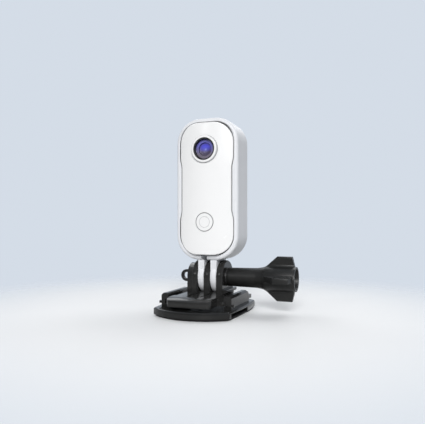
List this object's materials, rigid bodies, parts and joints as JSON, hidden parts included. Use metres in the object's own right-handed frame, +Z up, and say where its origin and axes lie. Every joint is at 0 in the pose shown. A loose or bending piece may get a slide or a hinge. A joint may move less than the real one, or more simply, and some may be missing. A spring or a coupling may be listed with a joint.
{
  "type": "action camera",
  "caption": "Slim upright action camera in a clip-on bracket that tilts on a finger joint with a thumb screw, over a quick-release buckle and an adhesive base.",
  "frame": {"origin": "centre of the adhesive pad's underside, where it meets the surface", "axes": "+Z up, -Y the way the lens looks, +X to the thumb screw, on the right seen from the front"},
  "size_m": [0.0596, 0.051, 0.0901],
  "materials": {
    "shell_plastic": "white glossy moulded plastic",
    "bracket_plastic": "white fine-grained moulded plastic",
    "bezel_plastic": "white glossy plastic ring",
    "button_plastic": "white glossy plastic",
    "light_lens": "milky translucent plastic",
    "barrel_black": "black satin plastic",
    "lens_glass": "clear coated glass",
    "filter_glass": "bluish filter glass",
    "base_plastic": "black grained plastic",
    "buckle_plastic": "black satin plastic",
    "knob_plastic": "black satin plastic",
    "washer_plastic": "dark plastic washer",
    "adhesive_foam": "dark foam tape",
    "seal_rubber": "black silicone rubber",
    "zinc_steel": "plated steel",
    "tinned_steel": "thin tinned steel",
    "circuit_board": "green board lacquer",
    "chip_epoxy": "black moulded resin",
    "sensor_silicon": "dark silicon with a glass cover",
    "ribbon_film": "amber ribbon film",
    "battery_pouch": "foil pouch",
    "copper_foil": "copper foil",
    "nickel_magnet": "nickel-plated magnet"
  },
  "bodies": {
    "base": {"adhesive_pad": "adhesive_foam", "base_plate": "base_plastic"},
    "buckle": {"buckle": "buckle_plastic", "hex_nut": "zinc_steel", "nut_cap": "buckle_plastic"},
    "latch_left": {"latch_leg_left": "buckle_plastic"},
    "latch_right": {"latch_leg_right": "buckle_plastic"},
    "bracket": {"bracket_frame": "bracket_plastic"},
    "washer": {"thrust_washer": "washer_plastic"},
    "thumb_screw": {"knob": "knob_plastic", "bolt": "zinc_steel", "knob_cap": "knob_plastic"},
    "camera": {"front_cover": "shell_plastic", "rear_cover": "shell_plastic", "cover_seal": "seal_rubber", "lens_bezel": "bezel_plastic", "lens_barrel": "barrel_black", "front_lens": "lens_glass", "inner_lenses": "lens_glass", "infrared_filter": "filter_glass", "lens_holder": "barrel_black", "image_sensor": "sensor_silicon", "sensor_board": "circuit_board", "sensor_ribbon": "ribbon_film", "main_board": "circuit_board", "board_screws": "zinc_steel", "processor": "chip_epoxy", "memory_chip": "chip_epoxy", "shield_can": "tinned_steel", "button_switch": "tinned_steel", "usb_socket": "tinned_steel", "card_socket": "tinned_steel", "battery": "battery_pouch", "heat_spreader": "copper_foil", "rear_magnet": "nickel_magnet", "microphone": "tinned_steel", "aerial": "copper_foil", "door_pin": "zinc_steel"},
    "shutter_button": {"shutter_button": "button_plastic", "button_light": "light_lens"},
    "rear_door": {"rear_door": "shell_plastic"},
    "memory_card": {"memory_card": "chip_epoxy"}
  },
  "joints": [
    {"name": "buckle_release", "type": "slide", "parent": "base", "child": "buckle", "axis": [0, -1, 0], "range_m": [0, 0.031], "deforming": ["latch_leg_left", "latch_leg_right"]},
    {"name": "latch_pinch_left", "type": "hinge", "parent": "buckle", "child": "latch_left", "pos_m": [-0.01205, -0.0038, 0.0058], "axis": [0, 0, -1], "range_deg": [0, 6], "stiffness_Nm_per_rad": 0.2},
    {"name": "latch_pinch_right", "type": "hinge", "parent": "buckle", "child": "latch_right", "pos_m": [0.01205, -0.0038, 0.0058], "axis": [0, 0, 1], "range_deg": [0, 6], "stiffness_Nm_per_rad": 0.2},
    {"name": "bracket_tilt", "type": "hinge", "parent": "buckle", "child": "bracket", "pos_m": [0, 0.0074, 0.0157], "axis": [-1, 0, 0], "range_deg": [-72, 80]},
    {"name": "screw_travel", "type": "slide", "parent": "buckle", "child": "washer", "axis": [1, 0, 0], "range_m": [0, 0.0172]},
    {"name": "screw_turn", "type": "hinge", "parent": "washer", "child": "thumb_screw", "pos_m": [0, 0.0074, 0.0157], "axis": [1, 0, 0], "range_deg": [0, 7740]},
    {"name": "camera_push_out", "type": "slide", "parent": "bracket", "child": "camera", "axis": [0, -1, 0], "range_m": [0, 0.018]},
    {"name": "shutter_press", "type": "slide", "parent": "camera", "child": "shutter_button", "axis": [0, 1, 0], "range_m": [0, 0.00035], "stiffness_N_per_m": 3000},
    {"name": "rear_door_open", "type": "hinge", "parent": "camera", "child": "rear_door", "pos_m": [0, 0.0138, 0.03025], "axis": [1, 0, 0], "range_deg": [-90, 0]},
    {"name": "card_eject", "type": "slide", "parent": "camera", "child": "memory_card", "axis": [0, 0, -1], "range_m": [0, 0.01]}
  ],
  "couplings": [
    {"joint": "screw_travel", "follows": "screw_turn", "m_per_rad": 0.00012732},
    {"joint": "latch_pinch_right", "follows": "latch_pinch_left", "ratio": 1}
  ]
}
